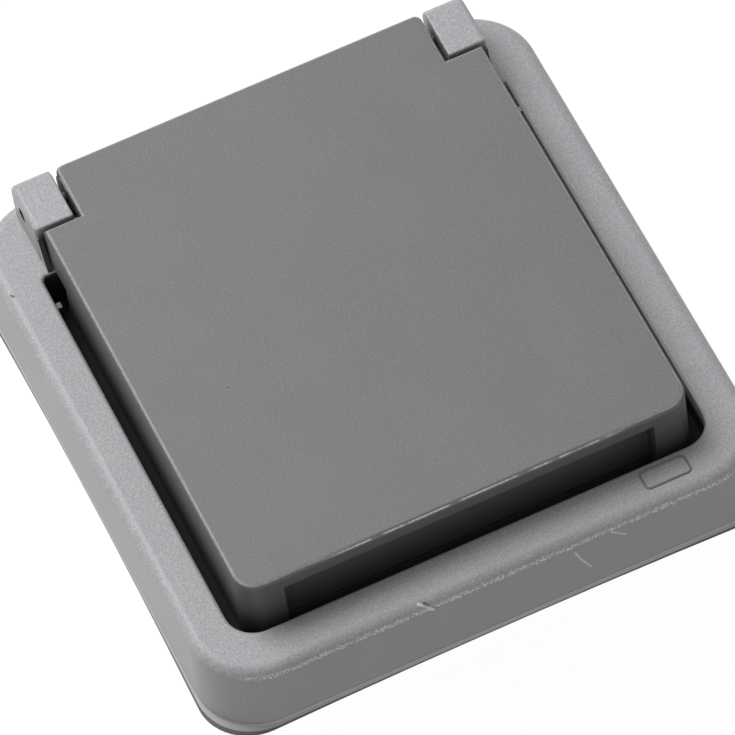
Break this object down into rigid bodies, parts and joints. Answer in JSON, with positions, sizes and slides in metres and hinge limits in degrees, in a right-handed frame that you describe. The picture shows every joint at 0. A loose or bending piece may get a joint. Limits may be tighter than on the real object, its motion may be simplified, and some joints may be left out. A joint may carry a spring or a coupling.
{
  "type": "flush power socket with hinged lid",
  "caption": "Square flush-mounted earthed power socket with a grey cover frame and a sprung, hinged splash lid over the round plug well.",
  "frame": {"origin": "on the socket's axis in the face of the wall, at the middle of the two box screws", "axes": "+Z out of the wall, +Y towards the lid's hinge, +X to the right seen from the front"},
  "size_m": [0.082, 0.0865, 0.0472],
  "materials": {
    "frame_grey": "fine spark-eroded grain on top, smoother walls",
    "lid_grey": "fine grain with a worn front edge",
    "cup_grey": "smooth satin",
    "base_insulator": "dull moulded resin",
    "seal_rubber": "dull black",
    "plated_steel": "zinc plated",
    "spring_steel": "drawn wire",
    "contact_bronze": "rolled strip",
    "terminal_brass": "machined"
  },
  "bodies": {
    "insert": {"cover_frame": "frame_grey", "wall_gasket": "seal_rubber", "hinge_pin": "plated_steel", "lid_spring": "spring_steel", "socket_cup": "cup_grey", "cup_gasket": "seal_rubber", "centre_screw": "plated_steel", "support_ring": "plated_steel", "ring_rivets": "plated_steel", "socket_base": "base_insulator", "live_contact": "contact_bronze", "neutral_contact": "contact_bronze", "earth_bracket": "contact_bronze", "live_cage": "terminal_brass", "neutral_cage": "terminal_brass", "earth_cage": "terminal_brass", "terminal_screws": "plated_steel", "claw_screws": "plated_steel"},
    "lid": {"hinged_lid": "lid_grey", "lid_gasket": "seal_rubber"},
    "claw_right": {"right_claw": "plated_steel"},
    "claw_left": {"left_claw": "plated_steel"}
  },
  "joints": [
    {"name": "lid_hinge", "type": "hinge", "parent": "insert", "child": "lid", "pos_m": [0, 0.0387, 0.0156], "axis": [-1, 0, 0], "range_deg": [0, 100], "stiffness_Nm_per_rad": 0.012, "springref_deg": -68.75, "deforming": ["lid_spring"]},
    {"name": "right_claw_swing", "type": "hinge", "parent": "insert", "child": "claw_right", "pos_m": [0.0242, 0, -0.003], "axis": [0, -1, 0], "range_deg": [0, 22]},
    {"name": "left_claw_swing", "type": "hinge", "parent": "insert", "child": "claw_left", "pos_m": [-0.0242, 0, -0.003], "axis": [0, 1, 0], "range_deg": [0, 22]}
  ]
}
